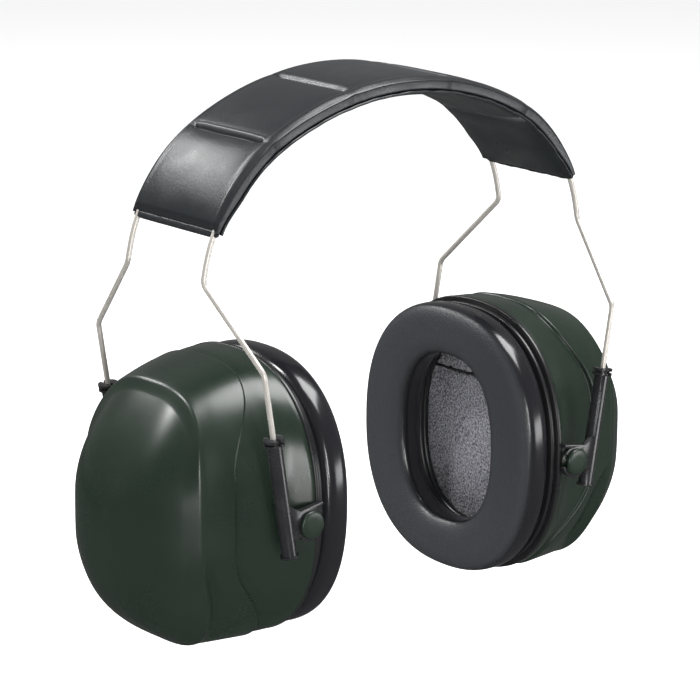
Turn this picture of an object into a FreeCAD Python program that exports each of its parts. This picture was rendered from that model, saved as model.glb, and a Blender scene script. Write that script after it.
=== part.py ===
"""Over-head hearing protection earmuffs.

Two spring wires run over the head in a padded band. Each wire end carries a sliding holder, and
the front and rear holder of a side clip round two studs on that side's cup, which tilts between
them. A cup is a hard shell with damping foam inside and a soft ring cushion on its rim.

Frame: millimetres, +Z up, X from ear to ear, Y front to back. The origin is the point where the
band's underside rests on the top of the head. The right-hand side (+X) is built, and mirrored.
"""
import FreeCAD, Part
import math
import os

# ---------------------------------------------------------------- driving dimensions (mm, degrees)
# overall places
pivot_drop = 141.0          # head rest down to the axis of the cup studs
cushion_gap = 82.6          # between the two ear faces

# spring wires
wire_d = 2.0
crown_r = 122.0             # wire's centre line over the head
crown_half_angle = 27.7
shoulder_r = 61.3
shoulder_end_angle = 79.6
shoulder_tail = 3.6         # straight stretch after the shoulder, before the first bend
bend_r = 4.5
leg_lean = 9.8              # straight leg leans outward, going up
leg_top = 58.8              # second bend above the stud axis, along the leg
leg_end = 10.2              # wire's end above the stud axis, along the leg
ferrule_wall = 0.65
ferrule_length = 3.0

# padded band
band_half_width = 24.2
band_end_angle = 66.0
band_thickness = 6.5
channel_gap = 0.1           # round the wires in their channels along the band's edges
cover_wall = 1.4
lining_wall = 1.0
hem_angle = 1.6
seam_angles = (10.0, 31.5)  # welded seams, mirrored on the other side
seam_half_gap = 0.5         # degrees of arc on each side of a seam

# holders
tube_top = 35.2             # along the leg, from the stud axis
tube_bottom = -9.6
tube_wall = 1.0             # round the ferrule's bore
tube_to_ring = 0.4
collar_lip = 1.0
collar_flange = 0.9
collar_gap = 0.8
collar_slot = 1.3
grip_length = 6.0           # bore that grips the wire
foot_lip = 0.6
foot_wall = 0.8
ring_band = 3.15            # ring's width round its bore
ring_wall = 2.2             # along the stud
mouth_bite = 1.4            # opening the neck snaps through is this much narrower than the neck
ring_clearance = 0.3        # ring to the sealing plate's edge
leg_set_in = 0.2            # leg's centre line inside the ring's inner face
ledge_overhang = 0.3        # ledge past the ring on its open side
ledge_wall = 1.2
web_top = 11.0
running_clearance = 0.05    # on the radius
side_clearance = 0.1

# studs on the shell
neck_d = 6.0
boss_lip = 1.6
boss_set_back = 0.1         # boss behind the rim's plane
cap_lip = 2.0
cap_wall = 1.5

# cup shell outline, as (depth behind the rim, half width, height above and below the studs, power)
rim_outline = (0.0, 47.6, 53.3, 50.3, 2.3)
shell_outlines = [
    rim_outline,
    (12.9, 42.3, 53.1, 51.3, 2.4),
    (24.6, 36.8, 49.9, 50.3, 2.7),
    (35.9, 33.5, 42.6, 47.8, 2.7),
    (46.4, 27.5, 32.5, 41.0, 2.5),
    (54.0, 19.0, 18.5, 31.0, 2.3),
    (59.0, 7.0, 5.0, 18.0, 2.0),
]
shell_wall = 2.5

# ear cushion, backing plate and sealing plate
cushion_half_width = 47.5
cushion_half_height = 51.2
cushion_rise = 1.5          # cushion's middle above the studs
cushion_power = 2.3
cushion_depth = 14.2
cushion_edge_r = 6.0
hole_half_width = 24.2
hole_half_height = 31.8
hole_power = 2.4
hole_edge_r = 3.5
skin_wall = 1.0
pouch_share = 5.4           # fluid pouch's depth behind the skin of the ear face
backing_wall = 1.7
backing_inset = 1.2         # backing plate's edge inside the cushion's
backing_hole_margin = 1.0
flange_wall = 2.0
flange_margin = 0.3         # sealing plate's edge outside the shell's rim
plate_hole_margin = 2.0
spigot_length = 3.5
spigot_gap = 0.4
spigot_wall = 2.0

# damping foam in the cup
liner_set_back = 2.5        # front foam behind the rim's plane
liner_wall = 7.0
liner_half_width = 34.0
liner_half_height = 40.0
liner_flat_top = 21.8       # front foam's straight top edge above the studs
damper_gap = 0.3
damper_wall = 12.0
damper_half_width = 31.0
damper_half_height = 41.0

# ---------------------------------------------------------------- places worked out from the sizes
wire_r = wire_d / 2
wire_spread = band_half_width - cover_wall - channel_gap - wire_r
pad_half_width = wire_spread - wire_r - channel_gap
band_above_wire = cover_wall + channel_gap + wire_r
band_below_wire = band_thickness - band_above_wire
ferrule_d = wire_d + 2 * ferrule_wall
tube_d = ferrule_d + 2 * (running_clearance + tube_wall)
ring_d = neck_d + 2 * (running_clearance + ring_band)
arm = ring_d / 2 + tube_to_ring + tube_d / 2        # stud axis to the wire's leg
ring_inner = rim_outline[1] + flange_margin + ring_clearance
ring_outer = ring_inner + ring_wall
leg_spread = ring_inner - leg_set_in
crown_centre_z = band_below_wire - crown_r
shoulder_centre_x = (crown_r - shoulder_r) * math.sin(math.radians(crown_half_angle))
shoulder_centre_z = crown_centre_z + (crown_r - shoulder_r) * math.cos(math.radians(crown_half_angle))
ear_x = cushion_gap / 2
rim_depth = cushion_depth + backing_wall + flange_wall
pivot_depth = rim_depth + boss_set_back + boss_lip + neck_d / 2
pivot_x = ear_x + pivot_depth
pivot_z = -pivot_drop
up_leg = FreeCAD.Vector(math.sin(math.radians(leg_lean)), 0, math.cos(math.radians(leg_lean)))
out_leg = FreeCAD.Vector(up_leg.z, 0, -up_leg.x)
Y_AXIS = FreeCAD.Vector(0, 1, 0)
TOL = 1e-6


def vec(x, y, z):
    return FreeCAD.Vector(x, y, z)


def leg_point(along, y):
    """Point on the leg's line, measured along the leg from beside the stud axis."""
    return vec(pivot_x, y, pivot_z) + out_leg * arm + up_leg * along


# ---------------------------------------------------------------- shapes used by several pieces
def outline(depth, half_width, above, below, power, middle=0.0):
    """Closed smooth oval across X: a superellipse with its own height above and below."""
    points = []
    steps = 36
    for i in range(steps):
        turn = 2 * math.pi * i / steps
        c, s = math.cos(turn), math.sin(turn)
        height = above if s >= 0 else below
        y = half_width * math.copysign(abs(c) ** (2 / power), c)
        z = middle + height * math.copysign(abs(s) ** (2 / power), s)
        points.append(vec(ear_x + depth, y, pivot_z + z))
    curve = Part.BSplineCurve()
    curve.interpolate(Points=points, PeriodicFlag=True)
    return Part.Wire([curve.toShape()])


def oval_prism(depth, length, half_width, half_height, power, middle):
    """Straight prism with an oval outline, going outward from a depth."""
    wire = outline(depth, half_width, half_height, half_height, power, middle)
    return Part.Face(wire).extrude(vec(length, 0, 0))


def arc_sweep(section, start, end):
    """Sweep a section of the band along its arc, between two angles from the crown.

    The section is a list of faces drawn at the crown, in the plane X = 0. The crown arc and the
    two shoulder arcs are tangent, so the section is turned about each arc's own centre.
    """
    limit = crown_half_angle
    middle = vec(0, 0, crown_centre_z)
    solids = []
    for low, high, sign in ((max(start, -limit), min(end, limit), 0),
                            (max(start, limit), end, 1),
                            (start, min(end, -limit), -1)):
        if high - low < TOL:
            continue
        for face in section:
            piece = face.copy()
            if sign == 0:
                piece.rotate(middle, Y_AXIS, low)
                solids.append(piece.revolve(middle, Y_AXIS, high - low))
                continue
            piece.rotate(middle, Y_AXIS, sign * limit)
            centre = vec(sign * shoulder_centre_x, 0, shoulder_centre_z)
            piece.rotate(centre, Y_AXIS, low - sign * limit)
            solids.append(piece.revolve(centre, Y_AXIS, high - low))
    swept = solids[0]
    if len(solids) > 1:
        swept = swept.fuse(solids[1:]).removeSplitter()
    return swept


def band_face(half_width, low, high):
    """Rectangle across the band at the crown; heights are from the wire's centre line."""
    z = crown_centre_z + crown_r
    corners = [vec(0, -half_width, z + low), vec(0, half_width, z + low),
               vec(0, half_width, z + high), vec(0, -half_width, z + high)]
    return Part.Face(Part.makePolygon(corners + corners[:1]))


def bend(before, corner, after):
    """Tangent arc that rounds a corner of the wire: its start, middle and end."""
    into = (corner - before).normalize()
    out = (after - corner).normalize()
    half_turn = into.getAngle(out) / 2
    tangent = bend_r * math.tan(half_turn)
    centre = corner + (out - into).normalize() * (bend_r / math.cos(half_turn))
    return corner - into * tangent, centre + (corner - centre).normalize() * bend_r, corner + out * tangent


# ---------------------------------------------------------------- spring wires
def wire_path(sign):
    """One wire's centre line from the left leg's end, over the head, to the right leg's end."""
    spread = sign * wire_spread
    end_angle = math.radians(shoulder_end_angle)
    shoulder_mid = math.radians((crown_half_angle + shoulder_end_angle) / 2)
    limit = math.radians(crown_half_angle)
    centre = vec(shoulder_centre_x, spread, shoulder_centre_z)
    crown_end = vec(crown_r * math.sin(limit), spread, crown_centre_z + crown_r * math.cos(limit))
    middle = centre + vec(math.sin(shoulder_mid), 0, math.cos(shoulder_mid)) * shoulder_r
    shoulder_end = centre + vec(math.sin(end_angle), 0, math.cos(end_angle)) * shoulder_r
    first = shoulder_end + vec(math.cos(end_angle), 0, -math.sin(end_angle)) * shoulder_tail
    second = leg_point(leg_top, sign * leg_spread)
    last = leg_point(leg_end, sign * leg_spread)
    a1, a2, a3 = bend(shoulder_end, first, second)
    b1, b2, b3 = bend(first, second, last)
    half = [("arc", crown_end, middle, shoulder_end), ("line", shoulder_end, a1), ("arc", a1, a2, a3),
            ("line", a3, b1), ("arc", b1, b2, b3), ("line", b3, last)]
    flip = FreeCAD.Matrix(-1, 0, 0, 0, 0, 1, 0, 0, 0, 0, 1, 0, 0, 0, 0, 1)
    crown_top = vec(0, spread, crown_centre_z + crown_r)
    runs = [(kind, *[flip.multVec(p) for p in reversed(points)]) for kind, *points in reversed(half)]
    runs += [("arc", flip.multVec(crown_end), crown_top, crown_end)] + half
    edges = []
    for kind, *points in runs:
        curve = Part.LineSegment(*points) if kind == "line" else Part.Arc(*points)
        edges.append(curve.toShape())
    return Part.Wire(edges), last


def spring_wire(sign):
    path, _ = wire_path(sign)
    start = path.Edges[0].valueAt(path.Edges[0].FirstParameter)
    along = path.Edges[0].tangentAt(path.Edges[0].FirstParameter)
    section = Part.Wire([Part.makeCircle(wire_r, start, along)])
    return path.makePipeShell([section], True, False)


def ferrules():
    """Crimped ferrules, one on each wire end, which stop the holders at full reach."""
    solids = []
    for sign in (-1, 1):
        low = leg_point(leg_end, sign * leg_spread)
        ring = Part.makeCylinder(ferrule_d / 2, ferrule_length, low, up_leg)
        ring = ring.cut(Part.makeCylinder(wire_r, ferrule_length, low, up_leg))
        solids += [ring, mirrored(ring)]
    return Part.makeCompound(solids)


# ---------------------------------------------------------------- padded band
def band_cover():
    """Top skin and side walls in one sheet, closed by a hem at each end round the wires."""
    inside = band_above_wire - cover_wall
    bottom = lining_wall - band_below_wire
    sides = band_face(band_half_width, bottom, band_above_wire).cut(
        band_face(band_half_width - cover_wall, bottom, inside))
    cover = arc_sweep(sides.Faces, -band_end_angle, band_end_angle)
    core = [band_face(band_half_width - cover_wall, bottom, inside)]
    hems = [arc_sweep(core, band_end_angle - hem_angle, band_end_angle),
            arc_sweep(core, -band_end_angle, hem_angle - band_end_angle)]
    cover = cover.fuse(hems).removeSplitter()
    for sign in (-1, 1):
        hole = [Part.Face(Part.Wire([Part.makeCircle(wire_r + running_clearance,
                vec(0, sign * wire_spread, crown_centre_z + crown_r), vec(1, 0, 0))]))]
        cover = cover.cut(arc_sweep(hole, -band_end_angle - hem_angle, band_end_angle + hem_angle))
    return cover


def band_lining():
    """Underside skin, welded to the cover's side walls."""
    face = band_face(band_half_width, -band_below_wire, lining_wall - band_below_wire)
    return arc_sweep([face], -band_end_angle, band_end_angle)


def band_pads():
    """Foam pads between the welded seams, by name."""
    face = band_face(pad_half_width, lining_wall - band_below_wire, band_above_wire - cover_wall)
    inner, outer = seam_angles
    stretches = {
        "band_pad_centre": (-inner, inner),
        "band_pad_inner_right": (inner, outer),
        "band_pad_outer_right": (outer, band_end_angle - hem_angle - seam_half_gap),
        "band_pad_inner_left": (-outer, -inner),
        "band_pad_outer_left": (hem_angle + seam_half_gap - band_end_angle, -outer),
    }
    return {name: arc_sweep([face], low + seam_half_gap, high - seam_half_gap)
            for name, (low, high) in stretches.items()}


# ---------------------------------------------------------------- holders
def holder(sign):
    """Sliding holder: a tube with a split collar that grips the wire, and a snap ring for the stud.

    It is drawn with the stud axis at the origin and the leg upright, then leaned and moved.
    """
    def rod(diameter, low, high):
        return Part.makeCylinder(diameter / 2, high - low, vec(arm, 0, low), vec(0, 0, 1))

    def plate(x_low, x_high, z_low, z_high):
        low = min(sign * ring_inner, sign * ring_outer) - sign * leg_spread
        return Part.makeBox(x_high - x_low, ring_wall, z_high - z_low, vec(x_low, low, z_low))

    def stud_rod(diameter):
        start = vec(0, sign * (ring_inner - leg_spread), 0)
        return Part.makeCylinder(diameter / 2, ring_wall, start, vec(0, sign, 0))

    collar_d = tube_d + 2 * collar_lip
    collar_low = tube_top - 2 * collar_flange - collar_gap
    body = rod(tube_d, tube_bottom, tube_top)
    body = body.fuse([
        rod(collar_d, tube_top - collar_flange, tube_top),
        rod(collar_d, collar_low, collar_low + collar_flange),
        rod(tube_d + 2 * foot_lip, tube_bottom, tube_bottom + foot_wall),
        stud_rod(ring_d),
        plate(0, arm, -ring_d / 4, ring_d / 2),
        plate(-ring_d / 2 - ledge_overhang, arm, ring_d / 2 - ledge_wall, ring_d / 2),
    ])
    start_y = sign * (ring_inner - leg_spread)
    gusset = [vec(arm, start_y, web_top), vec(arm, start_y, 0), vec(arm - tube_d, start_y, ring_d / 2)]
    body = body.fuse(Part.Face(Part.makePolygon(gusset + gusset[:1])).extrude(vec(0, sign * ring_wall, 0)))
    mouth = neck_d - mouth_bite
    body = body.cut([
        rod(wire_d + 2 * running_clearance, tube_bottom, tube_top),
        rod(ferrule_d + 2 * running_clearance, tube_bottom, tube_top - grip_length),
        stud_rod(neck_d + 2 * running_clearance),
        plate(-ring_d, 0, -mouth / 2, mouth / 2),
        Part.makeBox(collar_slot, collar_d, tube_top - collar_low,
                     vec(arm - collar_slot / 2, -collar_d / 2, collar_low)),
    ]).removeSplitter()
    body.rotate(vec(0, 0, 0), Y_AXIS, leg_lean)
    body.translate(vec(pivot_x, sign * leg_spread, pivot_z))
    return body


# ---------------------------------------------------------------- cup shell
def shell_loft(inset):
    """Outer form of the shell, or the same form made smaller all round by an inset."""
    wires = []
    for depth, half_width, above, below, power in shell_outlines:
        share = depth / shell_outlines[-1][0]
        wires.append(outline(rim_depth + depth - inset * share, half_width - inset, above - inset,
                             below - inset, power))
    return Part.makeLoft(wires, True, False)


def studs():
    """Boss, neck and cap at the front and rear of the shell."""
    solids = []
    root = shell_outlines[1][1] - shell_wall
    cap_start = ring_outer + side_clearance
    for sign in (-1, 1):
        direction = vec(0, sign, 0)

        def disc(diameter, start, end):
            foot = vec(pivot_x, sign * start, pivot_z)
            return Part.makeCylinder(diameter / 2, end - start, foot, direction)

        solids += [disc(neck_d + 2 * boss_lip, root, ring_inner - side_clearance),
                   disc(neck_d, root, cap_start),
                   disc(neck_d + 2 * cap_lip, cap_start, cap_start + cap_wall)]
    return solids


def cup_shell():
    outer = shell_loft(0).fuse(studs())
    return outer.cut(shell_loft(shell_wall)).removeSplitter()


# ---------------------------------------------------------------- ear cushion
def cushion_form(inset):
    """Cushion ring with rounded edges; an inset gives the space inside its skin."""
    depth = inset
    length = cushion_depth - 2 * inset
    outer = oval_prism(depth, length, cushion_half_width - inset, cushion_half_height - inset,
                       cushion_power, cushion_rise)
    hole = oval_prism(depth, length, hole_half_width + inset, hole_half_height + inset,
                      hole_power, cushion_rise)
    outer_r = cushion_edge_r - inset
    inner_r = hole_edge_r - inset
    front = [e for e in outer.Edges if abs(e.BoundBox.XMax - ear_x - depth) < TOL * 1000]
    outer = outer.makeFillet(outer_r, front)
    ring = outer.cut(hole)
    half = cushion_half_width / 2 + hole_half_width / 2
    front = [e for e in ring.Edges if abs(e.BoundBox.XMax - ear_x - depth) < TOL * 1000
             and e.BoundBox.YMax < half]
    return ring.makeFillet(inner_r, front)


def slab(start, end):
    """Everything between two depths from the ear face, to split a form with."""
    reach = 2 * cushion_half_height
    return Part.makeBox(end - start, 2 * reach, 2 * reach, vec(ear_x + start, -reach, pivot_z - reach))


def oval_ring(depth, length, outer, inner):
    """Flat ring; outer and inner are (half width, half height, power)."""
    ring = oval_prism(depth, length, *outer, cushion_rise)
    return ring.cut(oval_prism(depth, length, *inner, cushion_rise))


def cushion_pieces():
    inside = cushion_form(skin_wall)
    split = skin_wall + pouch_share
    return {
        "cushion_skin": cushion_form(0).cut(inside),
        "fluid_pouch": inside.common(slab(skin_wall, split)),
        "cushion_foam": inside.common(slab(split, cushion_depth)),
    }


def cushion_backing():
    """Stiff plate that the cushion is welded to."""
    outer = (cushion_half_width - backing_inset, cushion_half_height - backing_inset, cushion_power)
    inner = (hole_half_width + backing_hole_margin, hole_half_height + backing_hole_margin, hole_power)
    return oval_ring(cushion_depth, backing_wall, outer, inner)


def sealing_plate():
    """Plate that closes the shell's rim, with a spigot inside the rim."""
    _, half_width, above, below, power = rim_outline
    half_height = (above + below) / 2
    start = cushion_depth + backing_wall
    inner = (hole_half_width + plate_hole_margin, hole_half_height + plate_hole_margin, hole_power)
    flange = oval_ring(start, rim_depth - start,
                       (half_width + flange_margin, half_height + flange_margin, power), inner)
    # the shell narrows behind its rim, so the spigot follows it to the spigot's end
    _, next_width, _, _, _ = shell_outlines[1]
    next_depth = shell_outlines[1][0]
    narrowing = (half_width - next_width) * spigot_length / next_depth
    inset = shell_wall + spigot_gap + narrowing
    outside = (half_width - inset, half_height - inset, power)
    inside = (outside[0] - spigot_wall, outside[1] - spigot_wall, power)
    return flange.fuse(oval_ring(rim_depth, spigot_length, outside, inside))


# ---------------------------------------------------------------- damping foam
def foam_liner():
    """Front foam, cut straight along its top."""
    front = rim_depth + liner_set_back
    pad = oval_prism(front, liner_wall, liner_half_width, liner_half_height, cushion_power, 0)
    top = Part.makeBox(2 * liner_wall, 4 * liner_half_width, liner_half_height,
                       vec(ear_x + front - liner_wall / 2, -2 * liner_half_width,
                           pivot_z + liner_flat_top))
    return pad.cut(top)


def foam_damper():
    """Deep foam behind the front one; its top shows above the front foam's edge."""
    start = rim_depth + liner_set_back + liner_wall + damper_gap
    return oval_prism(start, damper_wall, damper_half_width, damper_half_height, cushion_power, 0)


# ---------------------------------------------------------------- all pieces
def mirrored(shape):
    return shape.mirror(vec(0, 0, 0), vec(1, 0, 0))


def all_pieces():
    pieces = {
        "wire_front": spring_wire(-1),
        "wire_rear": spring_wire(1),
        "wire_ferrules": ferrules(),
        "band_cover": band_cover(),
        "band_lining": band_lining(),
    }
    pieces.update(band_pads())
    right = {
        "holder_front": holder(-1),
        "holder_rear": holder(1),
        "cup_shell": cup_shell(),
        "sealing_plate": sealing_plate(),
        "cushion_backing": cushion_backing(),
        "foam_liner": foam_liner(),
        "foam_damper": foam_damper(),
    }
    right.update(cushion_pieces())
    for name, shape in right.items():
        pieces[name + "_right"] = shape
        pieces[name + "_left"] = mirrored(shape)
    return pieces


os.makedirs("parts", exist_ok=True)
for node, shape in all_pieces().items():
    shape.exportStep("parts/" + node + ".step")
    print(f"{node}: {len(shape.Solids)} solid(s), valid {shape.isValid()}, {shape.Volume / 1000:.2f} cm3")
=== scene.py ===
import math

import bpy
import numpy as np
from mathutils import Matrix, Vector


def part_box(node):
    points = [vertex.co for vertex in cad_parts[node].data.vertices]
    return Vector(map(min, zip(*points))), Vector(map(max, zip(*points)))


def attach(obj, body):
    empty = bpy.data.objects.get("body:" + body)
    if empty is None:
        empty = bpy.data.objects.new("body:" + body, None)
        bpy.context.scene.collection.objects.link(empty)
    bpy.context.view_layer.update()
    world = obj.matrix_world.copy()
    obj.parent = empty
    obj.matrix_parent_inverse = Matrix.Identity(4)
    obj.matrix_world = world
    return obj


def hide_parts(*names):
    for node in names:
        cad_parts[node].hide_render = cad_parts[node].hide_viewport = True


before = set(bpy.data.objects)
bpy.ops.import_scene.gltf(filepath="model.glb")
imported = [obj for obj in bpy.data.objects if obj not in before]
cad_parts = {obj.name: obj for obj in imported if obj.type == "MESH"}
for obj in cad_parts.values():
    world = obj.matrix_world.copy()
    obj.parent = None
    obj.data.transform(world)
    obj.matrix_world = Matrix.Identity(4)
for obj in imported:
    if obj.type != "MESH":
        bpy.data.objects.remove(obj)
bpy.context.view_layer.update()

mm = 0.001

# ------------------------------------------------------------------ spring wires
# Two stainless spring wires, 2 mm thick, bent cold and drawn bright. Each runs from cup to cup over
# the head, joggles outward below the band and ends in a crimped ferrule inside its holder.


def shader_group(name, inputs, outputs):
    """Empty node group with float inputs (name, value) and outputs (name, socket type)."""
    group = bpy.data.node_groups.new(name, "ShaderNodeTree")
    for label, value in inputs:
        socket = group.interface.new_socket(name=label, in_out="INPUT", socket_type="NodeSocketFloat")
        socket.default_value = value
    for label, kind in outputs:
        group.interface.new_socket(name=label, in_out="OUTPUT", socket_type=kind)
    return group, group.nodes.new("NodeGroupInput"), group.nodes.new("NodeGroupOutput")


def node(tree, kind, **settings):
    """New node of a tree. A setting is a property, or an input by its name with underscores for spaces."""
    made = tree.nodes.new(kind)
    for key, value in settings.items():
        if hasattr(made, key):
            setattr(made, key, value)
        else:
            made.inputs[key.replace("_", " ")].default_value = value
    return made


def finish_material(name, colour, roughness, **constants):
    """Principled material with constants on its shader's sockets: the material, its tree and the shader."""
    made = bpy.data.materials.new(name)
    made.use_nodes = True
    shader = made.node_tree.nodes["Principled BSDF"]
    shader.inputs["Base Color"].default_value = (*colour, 1)
    shader.inputs["Roughness"].default_value = roughness
    for key, value in constants.items():
        shader.inputs[key.replace("_", " ")].default_value = value
    return made, made.node_tree, shader


def grain_group():
    """Fine grain of a moulded or drawn surface: a height, and a slow shade for colour and roughness."""
    group, inside, out = shader_group("fine_grain", [("Grain Size", 0.0005), ("Cloud Size", 0.02)],
                                      [("Height", "NodeSocketFloat"), ("Shade", "NodeSocketFloat")])
    place = node(group, "ShaderNodeTexCoord")
    link = group.links.new
    for label, result, detail in (("Grain Size", "Height", 3.0), ("Cloud Size", "Shade", 5.0)):
        scale = node(group, "ShaderNodeMath", operation="DIVIDE")
        scale.inputs[0].default_value = 1.0
        link(inside.outputs[label], scale.inputs[1])
        noise = node(group, "ShaderNodeTexNoise", Detail=detail, Roughness=0.6)
        link(place.outputs["Object"], noise.inputs["Vector"])
        link(scale.outputs[0], noise.inputs["Scale"])
        link(noise.outputs["Fac"], out.inputs[result])
    return group


fine_grain = grain_group()


def add_grain(tree, shader, grain_size, cloud_size, height, rough_low, rough_high):
    """Place the fine grain in a material: a bump of a height in metres, and roughness between two values.
    Returns both nodes, so that a finish can add to them."""
    grain = node(tree, "ShaderNodeGroup", node_tree=fine_grain)
    grain.inputs["Grain Size"].default_value = grain_size
    grain.inputs["Cloud Size"].default_value = cloud_size
    bump = node(tree, "ShaderNodeBump", Distance=height)
    rough = node(tree, "ShaderNodeMapRange", To_Min=rough_low, To_Max=rough_high)
    rough.inputs["From Min"].default_value = 0.3
    rough.inputs["From Max"].default_value = 0.7
    tree.links.new(grain.outputs["Height"], bump.inputs["Height"])
    tree.links.new(grain.outputs["Shade"], rough.inputs["Value"])
    tree.links.new(rough.outputs["Result"], shader.inputs["Roughness"])
    tree.links.new(bump.outputs["Normal"], shader.inputs["Normal"])
    return grain, bump


def tint(tree, shader, factor, low, high):
    """Colour that runs between two values with a factor."""
    mix = node(tree, "ShaderNodeMix", data_type="RGBA")
    mix.inputs[6].default_value = (*low, 1)
    mix.inputs[7].default_value = (*high, 1)
    tree.links.new(factor, mix.inputs[0])
    tree.links.new(mix.outputs[2], shader.inputs["Base Color"])


spring_steel, tree, shader = finish_material("spring_steel", (0.62, 0.59, 0.54), 0.4, Metallic=0.65)
grain, _ = add_grain(tree, shader, 0.25 * mm, 6 * mm, 0.01 * mm, 0.32, 0.46)
tint(tree, shader, grain.outputs["Shade"], (0.52, 0.49, 0.45), (0.74, 0.71, 0.66))


def dress(piece, finish):
    """Give a piece one material, and smooth its shading."""
    piece.data.materials.clear()
    piece.data.materials.append(finish)
    piece.data.polygons.foreach_set("use_smooth", [True] * len(piece.data.polygons))


for name in ("wire_front", "wire_rear", "wire_ferrules"):
    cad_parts[name].data.materials.clear()
    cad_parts[name].data.materials.append(spring_steel)

# ------------------------------------------------------------------ band cover
# Black vinyl sheet over the wires and the foam. It is welded across the band at four seams, which
# divide it into pads, and along both edges, and each end is closed by a flat welded hem.
crown_r = 122.0 * mm
crown_limit = math.radians(27.7)
shoulder_r = 61.3 * mm
band_end = math.radians(66)
band_half_width = 24.2 * mm
wire_across = 21.7 * mm
cover_rise = 2.0 * mm          # cover's top above the wires' centre line
cover_foot = -3.1 * mm         # its lower edge
weld_half_width = 23.9 * mm    # hem and lining, welded just inside the cover's edges
seams = np.radians([-31.5, -11.0, 11.0, 31.5])
pad_swell = 0.9 * mm
ridge_height = 0.4 * mm        # cover lifted by a wire beneath it
seam_depth = 1.3 * mm
seam_half_width = 0.75 * mm
seam_lip = 0.4 * mm            # vinyl pushed up beside a seam
pucker_height = 0.17 * mm
end_drop = 1.6 * mm            # cover's top rolls down to the hem
wire_r = 1.0 * mm
wire_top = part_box("wire_front")[1][2] - wire_r
crown_centre = wire_top - crown_r
section_power = 2 / 7          # squareness of the band's rounded section
TAU = 2 * np.pi
hair = 1e-12                   # counts the crown itself as right-hand
sides = ((-1, "left"), (1, "right"))


def new_piece(name, points, wrap_rows=False, wrap_columns=False, cap_start=False, cap_end=False,
              flip=False):
    """Mesh of a grid of points: neighbouring rows and columns make its quads, and a cap closes an end
    with triangles round the middle of that row."""
    rows, columns = points.shape[:2]
    index = np.arange(rows * columns).reshape(rows, columns)
    if wrap_rows:
        index = np.vstack([index, index[:1]])
    if wrap_columns:
        index = np.hstack([index, index[:, :1]])
    quads = np.stack([index[:-1, :-1], index[1:, :-1], index[1:, 1:], index[:-1, 1:]], -1).reshape(-1, 4)
    vertices = points.reshape(-1, 3)
    faces = [quads[:, ::-1] if flip else quads]
    for wanted, row, turn in ((cap_start, index[0], False), (cap_end, index[-1], True)):
        if not wanted:
            continue
        middle = np.full(len(row) - 1, len(vertices))
        vertices = np.vstack([vertices, vertices[row[:-1]].mean(0)])
        fan = np.stack([row[:-1], row[1:], middle], -1)
        faces.append(fan[:, ::-1] if turn != flip else fan)
    mesh = bpy.data.meshes.new(name)
    mesh.from_pydata(vertices.tolist(), [], [face for group in faces for face in group.tolist()])
    mesh.update()
    made = bpy.data.objects.new(name, mesh)
    bpy.context.scene.collection.objects.link(made)
    return made


def mask(piece, name, values):
    """Store one value for each vertex as an attribute that materials read; caps get the last value."""
    flat = np.asarray(values, dtype=float).ravel()
    spare = len(piece.data.vertices) - len(flat)
    layer = piece.data.attributes.new(name, "FLOAT", "POINT")
    layer.data.foreach_set("value", np.concatenate([flat, np.full(spare, flat[-1])]).astype(np.float32))


def step(value, low, high):
    """Smooth step from 0 at low to 1 at high."""
    t = np.clip((value - low) / (high - low), 0, 1)
    return t * t * (3 - 2 * t)


def hill(value, width):
    """Rounded hill of height 1 round zero."""
    return np.exp(-(value / width) ** 2)


def full_turn(count):
    """Angles of a whole turn in equal steps, as one row."""
    return np.linspace(0, TAU, count, endpoint=False)[None, :]


def band_place(turn, rise, across):
    """Point on the band: turned along the crown arc and then the tangent shoulder arc, raised from the
    wires' centre line, and set across the band. The crown itself counts as right-hand."""
    beyond = np.clip(np.abs(turn) - crown_limit, 0, None)
    held = np.minimum(np.abs(turn), crown_limit)
    shift = crown_r - shoulder_r
    on_shoulder = beyond > 0
    radius = np.where(on_shoulder, shoulder_r, crown_r) + rise
    angle = held + beyond
    x = np.where(on_shoulder, shift * math.sin(crown_limit), 0) + radius * np.sin(angle)
    z = np.where(on_shoulder, shift * math.cos(crown_limit), 0) + radius * np.cos(angle) + crown_centre
    return np.stack(np.broadcast_arrays(x * np.sign(turn + hair), across, z), -1)


def along_band(turn):
    """Length along the wires' centre line from the crown to a turn."""
    beyond = np.clip(np.abs(turn) - crown_limit, 0, None)
    return np.sign(turn) * (np.minimum(np.abs(turn), crown_limit) * crown_r + beyond * shoulder_r)


def pad_shape(turn):
    """1 in the middle of each pad between two seams, falling to 0 at the seams and the band's ends."""
    marks = np.concatenate([[-band_end], seams, [band_end]])
    which = np.clip(np.searchsorted(marks, turn) - 1, 0, len(marks) - 2)
    share = (turn - marks[which]) / (marks[which + 1] - marks[which])
    return 1 - np.abs(2 * share - 1) ** 5


def seam_distance(turn):
    """Signed length along the band to the nearest seam."""
    gaps = along_band(turn)[..., None] - along_band(seams)
    nearest = np.abs(gaps).argmin(-1)
    return np.take_along_axis(gaps, nearest[..., None], -1)[..., 0]


def end_distance(turn):
    """Length along the band to its nearer end."""
    return along_band(np.full_like(turn, band_end)) - np.abs(along_band(turn))


def end_pinch(turn):
    """Rise of the band's underside where its ends are pressed flat."""
    rise, reach = 1.9 * mm, 16 * mm
    return rise * (1 - step(end_distance(turn), 0, reach))


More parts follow.
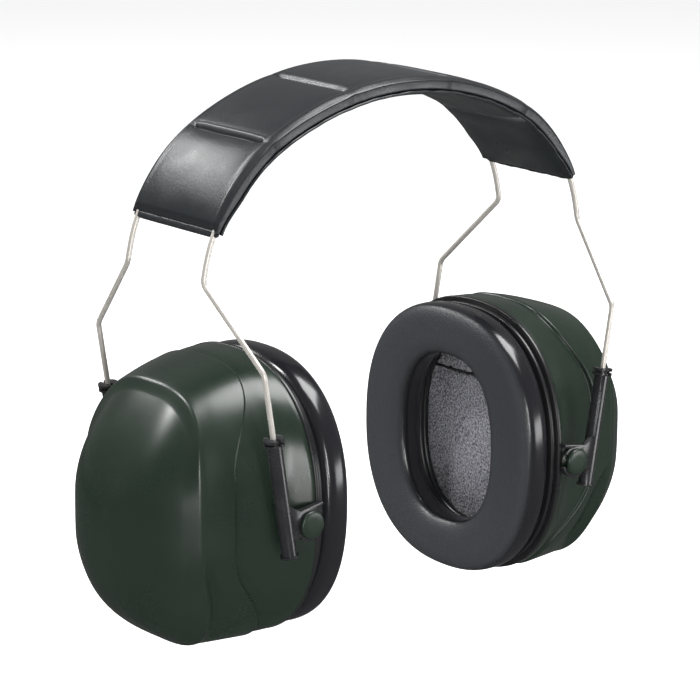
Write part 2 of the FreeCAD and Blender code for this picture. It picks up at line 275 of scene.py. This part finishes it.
def cover_surface(rows=420, columns=150):
    """Closed tube round the band: a rounded rectangle across, with the pads' swell, the wires' ridges,
    the sunk seams with their puckers, and ends that roll down to the hems. Also gives how far the vinyl
    is rubbed pale beside each seam."""
    turn = np.linspace(-band_end, band_end, rows)[:, None]
    c, s = np.cos(full_turn(columns)), np.sin(full_turn(columns))
    across = -band_half_width * np.sign(c) * np.abs(c) ** section_power
    middle, half = (cover_rise + cover_foot) / 2, (cover_rise - cover_foot) / 2
    rise = middle + half * np.sign(s) * np.abs(s) ** section_power
    top = step(rise, cover_rise - 1.2 * mm, cover_rise)
    side = step(np.abs(across), band_half_width - 0.6 * mm, band_half_width) * (1 - top)
    inner = 1 - step(np.abs(across), 17.5 * mm, 19.8 * mm)
    gap, end_gap = seam_distance(turn), end_distance(turn)
    lift = pad_swell * pad_shape(turn) * (1 - (across / band_half_width) ** 4)
    lift = lift + ridge_height * hill(np.abs(across) - wire_across - 0.3 * mm, 1.3 * mm)
    lift = lift - seam_depth * hill(gap, seam_half_width) * inner
    lift = lift + seam_lip * hill(gap - 1.4 * mm, 0.5 * mm) * inner
    pucker = np.sin(across / (1.15 * mm) + 2.1 * np.sin(across / (3.3 * mm)) + 40 * turn)
    lift = lift + pucker_height * pucker * np.exp(-np.abs(gap) / (2.8 * mm)) * inner
    drag = np.sin(along_band(turn) / (1.9 * mm) + 1.6 * np.sin(across / (6 * mm)))
    lift = lift + 0.05 * mm * drag * np.exp(-end_gap / (9 * mm))
    lift = lift - end_drop * (1 - step(end_gap, 0, 3.5 * mm))
    bulge = 0.25 * mm * pad_shape(turn) * side - 0.2 * mm * hill(gap, 2.5 * mm) * side
    wave = 0.12 * mm * np.sin(along_band(turn) / (7 * mm)) * side
    rise = rise + lift * top + end_pinch(turn) * (1 - step(rise, cover_foot, cover_rise))
    across = across + np.sign(across) * (bulge + wave)
    rubbed = hill(gap - 1.3 * mm, 0.5 * mm) * inner * top
    return band_place(turn, rise, across), np.broadcast_to(rubbed, lift.shape)


def vinyl_material(name, colour, worn, rough_low, rough_high, grain_size, depth):
    """Pressed vinyl: pebble grain from rounded cells, fine noise, and a paler rub where it is creased."""
    made, tree, shader = finish_material(name, colour, rough_low)
    link = tree.links.new
    place = node(tree, "ShaderNodeTexCoord")
    grain, bump = add_grain(tree, shader, 0.35 * mm, 14 * mm, depth, rough_low, rough_high)
    cells = node(tree, "ShaderNodeTexVoronoi", feature="SMOOTH_F1", Scale=1 / grain_size)
    link(place.outputs["Object"], cells.inputs["Vector"])
    pebble = node(tree, "ShaderNodeMath", operation="MULTIPLY_ADD")
    pebble.inputs[1].default_value = -0.8
    link(cells.outputs["Distance"], pebble.inputs[0])
    link(grain.outputs["Height"], pebble.inputs[2])
    link(pebble.outputs[0], bump.inputs["Height"])
    rub = node(tree, "ShaderNodeAttribute", attribute_name="rubbed")
    tint(tree, shader, rub.outputs["Fac"], colour, worn)
    return made


band_vinyl = vinyl_material("band_vinyl", colour=(0.011, 0.013, 0.015), worn=(0.09, 0.095, 0.10),
                            rough_low=0.26, rough_high=0.38, grain_size=0.9 * mm, depth=0.03 * mm)
points, rubbed = cover_surface()
band_cover = new_piece("band_cover_skin", points, wrap_columns=True, cap_start=True, cap_end=True)
mask(band_cover, "rubbed", rubbed)
dress(band_cover, band_vinyl)
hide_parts("band_cover")
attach(band_cover, "headband")


def hem_surface(sign, rows=90, columns=24):
    """Flat welded bar across one end of the band: a small rounded rectangle swept across, rippled."""
    across = np.linspace(-weld_half_width, weld_half_width, rows)[:, None]
    c, s = np.cos(full_turn(columns)), np.sin(full_turn(columns))
    taper = np.sqrt(np.clip(1 - (across / (24.1 * mm)) ** 12, 0.02, 1))
    ripple = 0.12 * mm * np.sin(across / (2.4 * mm)) + 0.08 * mm * np.sin(across / (0.9 * mm))
    rise = -0.2 * mm + ripple + 1.1 * mm * np.sign(s) * np.abs(s) ** 0.5 * taper
    reach = 0.4 * mm + 1.3 * mm * np.sign(c) * np.abs(c) ** 0.5 * taper
    return band_place(sign * (band_end + reach / shoulder_r), rise, across)


for sign, side in sides:
    hem = new_piece("band_hem_" + side, hem_surface(sign), wrap_columns=True, cap_start=True, cap_end=True,
                    flip=sign > 0)
    dress(hem, band_vinyl)
    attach(hem, "headband")

# ------------------------------------------------------------------ band lining and pads
# Softer vinyl against the head, welded to the cover's edges and seams, so that the foam swells it
# into five pillows with puckers at their welds.


def lining_surface(rows=320, columns=120):
    """Closed flat tube: a rounded rectangle across whose lower side swells between the seams, with
    puckers beside them. Also gives how far the vinyl is rubbed pale at each seam."""
    end_margin = 0.004             # radians
    turn = np.linspace(-band_end + end_margin, band_end - end_margin, rows)[:, None]
    c, s = np.cos(full_turn(columns)), np.sin(full_turn(columns))
    across = weld_half_width * np.sign(c) * np.abs(c) ** section_power
    rise = -3.4 * mm + 0.55 * mm * np.sign(s) * np.abs(s) ** section_power + end_pinch(turn)
    lower = step(-s, 0.0, 0.5)
    gap = seam_distance(turn)
    swell = 1.7 * mm * pad_shape(turn) * (1 - (across / weld_half_width) ** 4)
    swell = swell - 0.8 * mm * hill(gap, 1.4 * mm)
    pucker = np.sin(across / (1.9 * mm) + 1.7 * np.sin(across / (4.1 * mm)) + 30 * turn)
    fade = np.exp(-np.abs(gap) / (5 * mm))
    swell = swell + 0.3 * mm * pucker * fade * (1 - (across / weld_half_width) ** 2)
    return band_place(turn, rise - swell * lower, across), hill(gap, 1.6 * mm) * lower


points, rubbed = lining_surface()
lining = new_piece("band_lining_pads", points, wrap_columns=True, cap_start=True, cap_end=True, flip=True)
mask(lining, "rubbed", rubbed)
dress(lining, band_vinyl)
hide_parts("band_lining", "band_pad_centre", "band_pad_inner_left", "band_pad_inner_right",
            "band_pad_outer_left", "band_pad_outer_right")
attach(lining, "headband")


def edge_weld_surface(sign, rows=320, columns=20):
    """Thin welded lip along one edge of the band, where cover and lining meet."""
    turn = np.linspace(-band_end, band_end, rows)[:, None]
    round_turn, along = full_turn(columns), along_band(turn)
    ripple = 0.1 * mm * np.sin(along / (3.1 * mm)) + 0.07 * mm * np.sin(along / (1.3 * mm))
    across = sign * (24.0 * mm + ripple + 0.7 * mm * np.cos(round_turn))
    return band_place(turn, -3.2 * mm + ripple + 0.55 * mm * np.sin(round_turn) + end_pinch(turn), across)


for sign, end in ((-1, "front"), (1, "rear")):
    lip = new_piece("band_edge_weld_" + end, edge_weld_surface(sign), wrap_columns=True, cap_start=True,
                    cap_end=True, flip=sign > 0)
    dress(lip, band_vinyl)
    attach(lip, "headband")

# ------------------------------------------------------------------ holders
# Black moulded acetal slides, one on each wire end. The split collar at the top grips the wire, and
# a snap ring beside the tube holds the cup's stud.
holder_plastic, tree, shader = finish_material("holder_plastic", (0.012, 0.012, 0.013), 0.34)
grain, _ = add_grain(tree, shader, 0.3 * mm, 8 * mm, 0.008 * mm, 0.18, 0.3)
tint(tree, shader, grain.outputs["Shade"], (0.008, 0.008, 0.009), (0.018, 0.018, 0.020))


def rounded_copy(name, source, width):
    """Copy of a CAD node with its points merged, flat faces joined, and its edges rounded."""
    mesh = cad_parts[source].data.copy()
    made = bpy.data.objects.new(name, mesh)
    bpy.context.scene.collection.objects.link(made)
    weld = made.modifiers.new("weld", "WELD")
    weld.merge_threshold = 0.005 * mm
    flat = made.modifiers.new("flat", "DECIMATE")
    flat.decimate_type = "DISSOLVE"
    flat.angle_limit = math.radians(1)
    soft = made.modifiers.new("soft", "BEVEL")
    soft.width = width
    soft.segments = 3
    soft.limit_method = "ANGLE"
    soft.angle_limit = math.radians(35)
    return made


for _, side in sides:
    for end in ("front", "rear"):
        source = f"holder_{end}_{side}"
        slide = rounded_copy("slide_" + end + "_" + side, source, 0.22 * mm)
        dress(slide, holder_plastic)
        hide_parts(source)
        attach(slide, source)

# ------------------------------------------------------------------ cup shells
# Deep cups injection moulded in dark green plastic, satin all over. The tub wall narrows from the rim
# to a crease, and a raised teardrop panel stands on the front with a lip round its lower sides.
# A boss, neck and round cap for the holder's ring are moulded in at the front and the rear.
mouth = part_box("cup_shell_right")[0][0]        # rim's distance from the middle plane
stud_z = -141 * mm
stud_x = 63.9 * mm
shell_depth = 59.0 * mm        # rim to the outermost point
apex_drop = 5.0 * mm           # that point below the studs


def oval(turn, half_width, above, below, power):
    """Superellipse round the stud axis with its own height above and below: y and z of each turn."""
    c, s = np.cos(turn), np.sin(turn)
    height = np.where(s >= 0, above, below)
    y = half_width * np.sign(c) * np.abs(c) ** (2 / power)
    return y, height * np.sign(s) * np.abs(s) ** (2 / power)


def shell_rings(turn):
    """Outlines that the shell passes through, from inside the rim to the panel's fold, as x, y, z. Each is
    given in millimetres as depth behind the rim, half width, height above and below the studs, power.
    The crease, the panel's edge and its fold bend back towards the rim at the top and the bottom, and
    the lip draws the panel's foot in along its lower sides."""
    up, down = np.clip(np.sin(turn), 0, 1), np.clip(-np.sin(turn), 0, 1)
    rings = []

    def ring(depth, half_width, above, below, power):
        y, z = oval(turn, half_width * mm, above * mm, below * mm, power)
        rings.append(np.stack([mouth + depth * mm + 0 * y, y, z], -1))

    ring(0.0, 45.1, 50.8, 47.8, 2.3)
    ring(0.0, 47.6, 53.3, 50.3, 2.3)
    ring(1.4, 47.2, 53.5, 50.5, 2.3)
    ring(10.4 - up - 5.4 * down, 41.2, 53.0, 50.8, 2.5)
    y, z = oval(turn, 36.3, 52.3, 50.8, 2.9)
    crease = 27.3 - 14.0 * step(z, 18, 54) - 18.5 * step(-z, 12, 48)
    ring(crease - 0.6, 35.6, 51.8, 50.3, 2.9)
    ring(crease + 0.2, 36.9, 52.6, 51.0, 2.9)
    y, z = oval(turn, 34.0, 46.4, 50.5, 2.85)
    edge = 40.4 - 4.6 * step(z, 20, 46) - 9.5 * step(-z, 8, 50)
    lip = 2.2 * step(-z, 8, 22) * (1 - 0.8 * step(-z, 38, 50))
    ring((crease + edge) / 2 - 0.5, 35.6 - 1.0 * step(-z, 8, 24), 50.3, 50.8, 2.9)
    ring(edge - 2.0 - 0.8 * lip, 34.2 - lip, 47.3, 50.9 - lip, 2.85)
    ring(edge, 34.0, 46.4, 50.5, 2.85)
    y, z = oval(turn, 30.4, 42.8, 46.6, 2.8)
    fold = 45.6 - 7.5 * step(z, 8, 43) - 8.0 * step(-z, 12, 48)
    ring(fold, 30.4, 42.8, 46.6, 2.8)
    return np.stack(rings, 0)


def rounded_rows(rings, cuts, steps):
    """Rows through a list of outlines, with each corner rounded by a parabola of its own cut length."""
    rows = [rings[:1]]
    t = np.linspace(0, 1, steps)[:, None, None]
    for before, here, after, cut in zip(rings[:-2], rings[1:-1], rings[2:], cuts):
        back, ahead = before - here, after - here
        back_length = np.linalg.norm(back, axis=-1, keepdims=True)
        ahead_length = np.linalg.norm(ahead, axis=-1, keepdims=True)
        start = here + back * np.minimum(cut / np.maximum(back_length, 1e-9), 0.49)
        end = here + ahead * np.minimum(cut / np.maximum(ahead_length, 1e-9), 0.49)
        rows.append((1 - t) ** 2 * start + 2 * t * (1 - t) * here + t ** 2 * end)
    rows.append(rings[-1:])
    return np.concatenate(rows, 0)


def shell_surface(columns=288):
    """Rows from inside the rim out to the fold, then the domed face: each ray falls from the apex by a
    power of its share of the way to the fold."""
    turn = full_turn(columns)[0]
    rings = shell_rings(turn)
    fold = rings[-1]
    apex = np.array([mouth + shell_depth, 0.0, -apex_drop])
    share = np.linspace(1, 0, 60)[:-1, None] ** 0.8
    power = 3.1 - 1.0 * np.clip(np.sin(turn), 0, 1) ** 3
    x = apex[0] - (apex[0] - fold[:, 0]) * share ** power
    y = apex[1] + (fold[:, 1] - apex[1]) * share
    z = apex[2] + (fold[:, 2] - apex[2]) * share
    face = np.stack([x, y, z], -1)
    rings = np.concatenate([rings, face[2:3]], 0)
    cuts = np.array([0.3, 0.8, 7.0, 0.4, 0.7, 5.0, 0.8, 0.9, 3.0]) * mm
    outer = rounded_rows(rings, cuts, 11)
    return np.concatenate([outer, face[3:]], 0)


def stud_surface(sign, columns=48):
    """Boss, neck and cap turned about the stud axis: a profile of radius against distance from the wall."""
    profile = np.array([(4.6, 43.0), (4.6, 47.5), (4.3, 48.0), (3.0, 48.1), (3.0, 50.5), (4.5, 50.5),
                        (5.0, 50.75), (5.0, 51.5), (4.75, 51.85), (4.3, 52.0), (2.2, 52.06)]) * mm
    turn = full_turn(columns)
    radius, reach = profile[:, :1], profile[:, 1:]
    x, z = stud_x + radius * np.cos(turn), radius * np.sin(turn)
    return np.stack(np.broadcast_arrays(x, sign * reach, z), -1)


shell_plastic, tree, shader = finish_material("shell_plastic", (0.009, 0.017, 0.011), 0.3)
grain, _ = add_grain(tree, shader, 1.2 * mm, 30 * mm, 0.001 * mm, 0.25, 0.33)
tint(tree, shader, grain.outputs["Shade"], (0.007, 0.0145, 0.009), (0.011, 0.020, 0.013))


def joined(pieces):
    """Join several pieces into the first."""
    with bpy.context.temp_override(active_object=pieces[0], selected_editable_objects=pieces,
                                   selected_objects=pieces):
        bpy.ops.object.join()
    return pieces[0]


def on_side(points, sign):
    """Points drawn for the right-hand cup round the stud axis, placed on either side."""
    placed = points + np.array([0, 0, stud_z])
    placed[..., 0] *= sign
    return placed


for sign, side in sides:
    parts = [new_piece("shell_" + side, on_side(shell_surface(), sign), wrap_columns=True, cap_end=True,
                       flip=sign < 0)]
    for front in (-1, 1):
        parts.append(new_piece("stud", on_side(stud_surface(front), sign), wrap_columns=True, cap_end=True,
                               flip=(front < 0) != (sign < 0)))
    shell = joined(parts)
    dress(shell, shell_plastic)
    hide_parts("cup_shell_" + side)
    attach(shell, "cup_" + side)

# ------------------------------------------------------------------ sealing and backing plates
# Two black moulded rings: the sealing plate closes the shell's rim, and the cushion is welded to the
# thinner backing plate that snaps into it. Their rounded edges show as two steps behind the cushion.
plate_plastic, tree, shader = finish_material("plate_plastic", (0.008, 0.008, 0.009), 0.3)
grain, _ = add_grain(tree, shader, 0.4 * mm, 12 * mm, 0.006 * mm, 0.26, 0.36)
tint(tree, shader, grain.outputs["Shade"], (0.006, 0.006, 0.007), (0.012, 0.012, 0.013))
ear_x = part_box("cushion_skin_right")[0][0]
cushion_z = 1.5 * mm           # cushion's middle above the studs


def oval_sweep(profile, outer, inner, columns=240):
    """Closed ring: each profile point is (share from the hole's oval to the outer oval, margin outward,
    depth from the ear face). Ovals are (half width, half height, power)."""
    turn = full_turn(columns)
    share, margin, depth = (np.array(profile)[:, k:k + 1] for k in range(3))
    y0, z0 = oval(turn, inner[0], inner[1], inner[1], inner[2])
    y1, z1 = oval(turn, outer[0], outer[1], outer[1], outer[2])
    y, z = y0 + (y1 - y0) * share, z0 + (z1 - z0) * share
    length = np.hypot(y, z)
    y, z = y * (1 + margin / length), z * (1 + margin / length)
    return np.stack(np.broadcast_arrays(ear_x + depth, y, z + cushion_z), -1)


def plate_profile(low, high, radius):
    """Profile of a flat ring between two depths whose outer edge is rounded."""
    bend = np.linspace(-90, 90, 9)
    half = (high - low) / 2
    rim = [(1.0, (math.cos(math.radians(b)) - 1) * radius, low + half + half * math.sin(math.radians(b)))
           for b in bend]
    return [(0.0, 0.0, low), (0.5, 0.0, low)] + rim + [(0.5, 0.0, high), (0.0, 0.0, high)]


hole_oval = (27.5 * mm, 35.0 * mm, 2.4)
plate_steps = (("sealing_plate", 16.0 * mm, 18.0 * mm, (48.0 * mm, 52.1 * mm, 2.3)),
               ("cushion_backing", 13.9 * mm, 15.8 * mm, (46.5 * mm, 50.3 * mm, 2.3)))
edge_r = 0.5 * mm
for sign, side in sides:
    for name, low, high, outline in plate_steps:
        points = oval_sweep(plate_profile(low, high, edge_r), outline, hole_oval)
        ring = new_piece(name + "_ring_" + side, on_side(points, sign), wrap_rows=True, wrap_columns=True,
                         flip=sign < 0)
        dress(ring, plate_plastic)
        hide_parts(name + "_" + side)
        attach(ring, "cup_" + side)

# ------------------------------------------------------------------ damping foam
# Open-cell grey foam, cut from sheet. The front piece has a straight top edge, and the deep piece
# behind it shows above that edge.
foam_grey, tree, shader = finish_material("foam_grey", (0.10, 0.10, 0.11), 0.95)
place = node(tree, "ShaderNodeTexCoord")
cells = node(tree, "ShaderNodeTexVoronoi", Scale=1 / (0.9 * mm))
specks = node(tree, "ShaderNodeTexNoise", Scale=1 / (0.8 * mm), Detail=2.0, Roughness=0.7)
tree.links.new(place.outputs["Object"], cells.inputs["Vector"])
tree.links.new(place.outputs["Object"], specks.inputs["Vector"])
spread = node(tree, "ShaderNodeMapRange", To_Min=0.0, To_Max=1.0)
spread.inputs["From Min"].default_value = 0.36
spread.inputs["From Max"].default_value = 0.64
tree.links.new(specks.outputs["Fac"], spread.inputs["Value"])
tint(tree, shader, spread.outputs["Result"], (0.06, 0.06, 0.07), (0.34, 0.34, 0.37))
bump = node(tree, "ShaderNodeBump", Distance=0.4 * mm)
tree.links.new(cells.outputs["Distance"], bump.inputs["Height"])
tree.links.new(bump.outputs["Normal"], shader.inputs["Normal"])


def foam_surface(front, back, half_width, half_height, flat_top, swell, columns=160):
    """Pad with a soft edge: rows from the middle of its front face round to the middle of its back, cut
    straight at the flat top. Its front swells forward above the front pad's straight edge."""
    turn = full_turn(columns)
    soft = 1.2 * mm
    share = np.concatenate([np.linspace(0.02, 0.97, 24), np.ones(9), np.linspace(0.97, 0.02, 10)])[:, None]
    bend = np.concatenate([np.full(24, -90.0), np.linspace(-90, 90, 9), np.full(10, 90.0)])[:, None]
    bend = np.radians(bend)
    inset = soft * (1 - np.cos(bend)) * (share > 0.98)
    y, z = oval(turn, half_width, half_height, half_height, 2.3)
    y, z = y * (share - inset / half_width), z * (share - inset / half_height)
    z = np.minimum(z, flat_top - inset)
    middle, half = (front + back) / 2, (back - front) / 2
    dent = 0.25 * mm * np.sin(y / (5 * mm)) * np.cos(z / (6 * mm)) * (bend < 0)
    x = middle + half * np.sin(bend) + dent - swell * step(z, 21.9 * mm, 22.7 * mm) * (bend < 0)
    return np.stack(np.broadcast_arrays(x, y, z), -1)


# name, front and back by distance from the middle plane, half width, half height, flat top, swell
foams = (("foam_liner", 61.7 * mm, 68.7 * mm, 34.0 * mm, 40.0 * mm, 21.8 * mm, 0.0),
         ("foam_damper", 69.0 * mm, 81.0 * mm, 31.0 * mm, 41.0 * mm, 41.0 * mm, 7.2 * mm))
for sign, side in sides:
    for name, *sizes in foams:
        pad = new_piece(name + "_pad_" + side, on_side(foam_surface(*sizes), sign), wrap_columns=True,
                        cap_start=True, cap_end=True, flip=sign < 0)
        dress(pad, foam_grey)
        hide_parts(name + "_" + side)
        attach(pad, "cup_" + side)

# ------------------------------------------------------------------ ear cushions
# Soft rings of foam and fluid in a thin black vinyl skin, formed by vacuum and welded at the back.
# The ear face keeps a fine pebble grain, and the stretched outer side is glossy.


half_depth = 7.1 * mm
opening_half = (24.2 * mm, 31.8 * mm)
outer_half = (47.5 * mm, 51.2 * mm)


def cushion_surface(columns=256, rows=72):
    """Ring whose section is a superellipse between the opening's oval and the outer oval. Also gives a
    value of 1 on the ear face and 0 on the side."""
    turn = full_turn(columns)
    bend = np.linspace(0, TAU, rows, endpoint=False)[:, None]
    c, s = np.cos(bend), np.sin(bend)
    share = 0.5 - 0.5 * np.sign(c) * np.abs(c) ** (2 / 3.0)
    depth = half_depth - half_depth * np.sign(s) * np.abs(s) ** (2 / 2.8)
    y0, z0 = oval(turn, *opening_half, opening_half[1], 2.4)
    y1, z1 = oval(turn, *outer_half, outer_half[1], 2.3)
    y, z = y0 + (y1 - y0) * share, z0 + (z1 - z0) * share
    face = np.broadcast_to(step(s, 0.35, 0.8), y.shape)
    return np.stack(np.broadcast_arrays(ear_x + depth, y, z + cushion_z), -1), face


cushion_vinyl, tree, shader = finish_material("cushion_vinyl", (0.012, 0.012, 0.013), 0.3)
link = tree.links.new
place = node(tree, "ShaderNodeTexCoord")
grain, bump = add_grain(tree, shader, 0.3 * mm, 10 * mm, 0.15 * mm, 0.15, 0.25)
cells = node(tree, "ShaderNodeTexVoronoi", feature="SMOOTH_F1", Scale=1 / (0.75 * mm))
link(place.outputs["Object"], cells.inputs["Vector"])
face_grain_and_painted_light = node(tree, "ShaderNodeAttribute", attribute_name="ear_face")
height = node(tree, "ShaderNodeMath", operation="MULTIPLY")
link(cells.outputs["Distance"], height.inputs[0])
link(face_grain_and_painted_light.outputs["Fac"], height.inputs[1])
link(height.outputs[0], bump.inputs["Height"])
rough = node(tree, "ShaderNodeMapRange", To_Min=0.18, To_Max=0.5)
link(face_grain_and_painted_light.outputs["Fac"], rough.inputs["Value"])
link(rough.outputs["Result"], shader.inputs["Roughness"])
# The ear face's paler colour is painted light: it stands in for a lamp on the face, while the vinyl itself
# is one black all over. The face's grain and roughness are real.
tint(tree, shader, face_grain_and_painted_light.outputs["Fac"], (0.009, 0.009, 0.011), (0.030, 0.032, 0.037))

for sign, side in sides:
    points, face = cushion_surface()
    cushion = new_piece("cushion_" + side, on_side(points, sign), wrap_rows=True, wrap_columns=True,
                        flip=sign < 0)
    mask(cushion, "ear_face", face)
    dress(cushion, cushion_vinyl)
    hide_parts("cushion_skin_" + side, "cushion_foam_" + side, "fluid_pouch_" + side)
    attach(cushion, "cup_" + side)

# ------------------------------------------------------------------ floor, light and camera
# A plain pale floor below the hanging cups, and a pale surround. Both are dimmer to reflections than to
# the camera, which keeps the black and green pieces deep. A large soft light stands above, two more
# behind the band, and three smaller ones put edges on the cups' side walls.
floor_z = -0.235
floor_reach = 6                # half the floor's side
floor_mesh = bpy.data.meshes.new("floor")
corners = [(x * floor_reach, y * floor_reach, floor_z) for x, y in ((-1, -1), (1, -1), (1, 1), (-1, 1))]
floor_mesh.from_pydata(corners, [], [(0, 1, 2, 3)])
floor = bpy.data.objects.new("floor", floor_mesh)
bpy.context.scene.collection.objects.link(floor)
floor_paint, tree, shader = finish_material("floor_paint", (0.9, 0.9, 0.9), 0.9)
floor_mesh.materials.append(floor_paint)
path = node(tree, "ShaderNodeLightPath")
dull = node(tree, "ShaderNodeBsdfDiffuse")
dull.inputs["Color"].default_value = (0.06, 0.06, 0.06, 1)
mix = node(tree, "ShaderNodeMixShader")
tree.links.new(path.outputs["Is Glossy Ray"], mix.inputs[0])
tree.links.new(shader.outputs[0], mix.inputs[1])
tree.links.new(dull.outputs[0], mix.inputs[2])
tree.links.new(mix.outputs[0], tree.nodes["Material Output"].inputs["Surface"])

scene = bpy.context.scene
scene.view_settings.view_transform = "Standard"
world = bpy.data.worlds.new("surround")
world.use_nodes = True
world.cycles.sampling_method = "NONE"
scene.world = world
tree = world.node_tree
path = node(tree, "ShaderNodeLightPath")
place = node(tree, "ShaderNodeTexCoord")
away = node(tree, "ShaderNodeVectorMath", operation="DOT_PRODUCT")
away.inputs[1].default_value = (0.65, 0.76, 0.0)
backdrop = node(tree, "ShaderNodeMapRange", To_Min=0.14, To_Max=0.26)
backdrop.inputs["From Min"].default_value = -0.1
backdrop.inputs["From Max"].default_value = 0.8
strength = node(tree, "ShaderNodeMix", data_type="FLOAT")
strength.inputs[2].default_value = 0.92
tree.links.new(place.outputs["Generated"], away.inputs[0])
tree.links.new(away.outputs["Value"], backdrop.inputs["Value"])
tree.links.new(path.outputs["Is Glossy Ray"], strength.inputs[0])
tree.links.new(backdrop.outputs["Result"], strength.inputs[3])
tree.links.new(strength.outputs[0], tree.nodes["Background"].inputs["Strength"])
tree.nodes["Background"].inputs["Color"].default_value = (1.0, 1.0, 1.0, 1)

lit_point = Vector((0, 0, -0.09))


def direction_to(azimuth, elevation):
    """Unit vector from the object towards a viewer; azimuth 0 stands in front, at -Y."""
    a, e = math.radians(azimuth), math.radians(elevation)
    return Vector((math.sin(a) * math.cos(e), -math.cos(a) * math.cos(e), math.sin(e)))


def soft_light(name, azimuth, elevation, distance, width, height, power):
    """Rectangular light that faces the object, in metres and watts."""
    direction = direction_to(azimuth, elevation)
    data = bpy.data.lights.new(name, "AREA")
    data.shape = "RECTANGLE"
    data.size, data.size_y, data.energy = width, height, power
    light = bpy.data.objects.new(name, data)
    light.location = lit_point + direction * distance
    light.rotation_euler = direction.to_track_quat("Z", "Y").to_euler()
    scene.collection.objects.link(light)


soft_light("key", 48, 66, 1.0, 0.62, 0.6, 14.0)
soft_light("left", -122, 50, 1.1, 0.2, 0.2, 7.0)
soft_light("rear", -164, 38, 1.2, 0.5, 0.18, 4.0)
soft_light("side", 37.5, -5.4, 0.62, 0.26, 0.12, 0.7)
soft_light("strip", -20, 6, 1.2, 0.07, 0.42, 3.2)
soft_light("card", -33, -7, 0.55, 0.035, 0.17, 0.34)

camera_place = Vector((-0.8053, -0.9441, 0.2170))
camera_azimuth, camera_elevation, camera_roll = -40.322, 14.259, 0.559
camera_data = bpy.data.cameras.new("camera")
camera_data.lens = 178.77
camera_data.sensor_width = 36
camera_data.clip_end = 50
camera = bpy.data.objects.new("camera", camera_data)
look = direction_to(camera_azimuth, camera_elevation).to_track_quat("Z", "Y").to_matrix().to_4x4()
camera.matrix_world = (Matrix.Translation(camera_place) @ look
                       @ Matrix.Rotation(math.radians(camera_roll), 4, "Z"))
scene.collection.objects.link(camera)
scene.camera = camera
